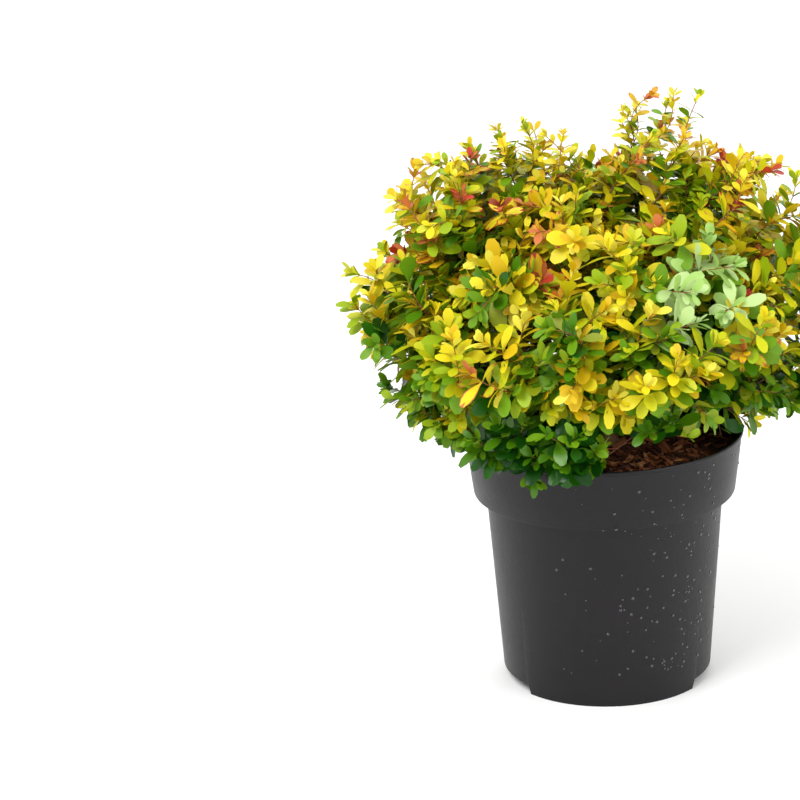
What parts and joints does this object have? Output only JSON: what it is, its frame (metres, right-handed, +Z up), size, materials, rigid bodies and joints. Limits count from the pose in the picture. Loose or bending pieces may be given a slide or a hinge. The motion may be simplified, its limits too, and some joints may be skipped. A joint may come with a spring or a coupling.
{
  "type": "potted japanese barberry",
  "caption": "Compact golden-leaved barberry shrub with red-tinged shoots, standing in a tapered charcoal nursery pot with a stepped collar.",
  "frame": {"origin": "centre of the flat disc under the pot, on the ground", "axes": "+Z up along the pot's axis, -Y towards the front of the picture, +X to the right"},
  "size_m": [0.3479, 0.3062, 0.4062],
  "materials": {
    "pot_plastic": "matte",
    "bark_mulch": "matte",
    "bark": "matte",
    "leaves": "satin"
  },
  "bodies": {
    "root": {"bough_back_crown": "bark", "bough_back_left": "bark", "bough_back_right": "bark", "bough_front_crown": "bark", "bough_front_left": "bark", "bough_front_right": "bark", "bough_left_peak": "bark", "bough_left_shoulder": "bark", "bough_left_side": "bark", "bough_low_back_left": "bark", "bough_low_back_right": "bark", "bough_low_front_left": "bark", "bough_low_front_right": "bark", "bough_low_left": "bark", "bough_low_right": "bark", "bough_right_crown": "bark", "bough_right_side": "bark", "bough_spire": "bark", "foliage_back_crown": "leaves", "foliage_back_left": "leaves", "foliage_back_right": "leaves", "foliage_front_crown": "leaves", "foliage_front_left": "leaves", "foliage_front_right": "leaves", "foliage_left_peak": "leaves", "foliage_left_shoulder": "leaves", "foliage_left_side": "leaves", "foliage_low_back_left": "leaves", "foliage_low_back_right": "leaves", "foliage_low_front_left": "leaves", "foliage_low_front_right": "leaves", "foliage_low_left": "leaves", "foliage_low_right": "leaves", "foliage_right_crown": "leaves", "foliage_right_side": "leaves", "foliage_rim_sprig": "leaves", "foliage_spire": "leaves", "pot": "pot_plastic", "soil": "bark_mulch", "stem": "bark"}
  },
  "joints": []
}
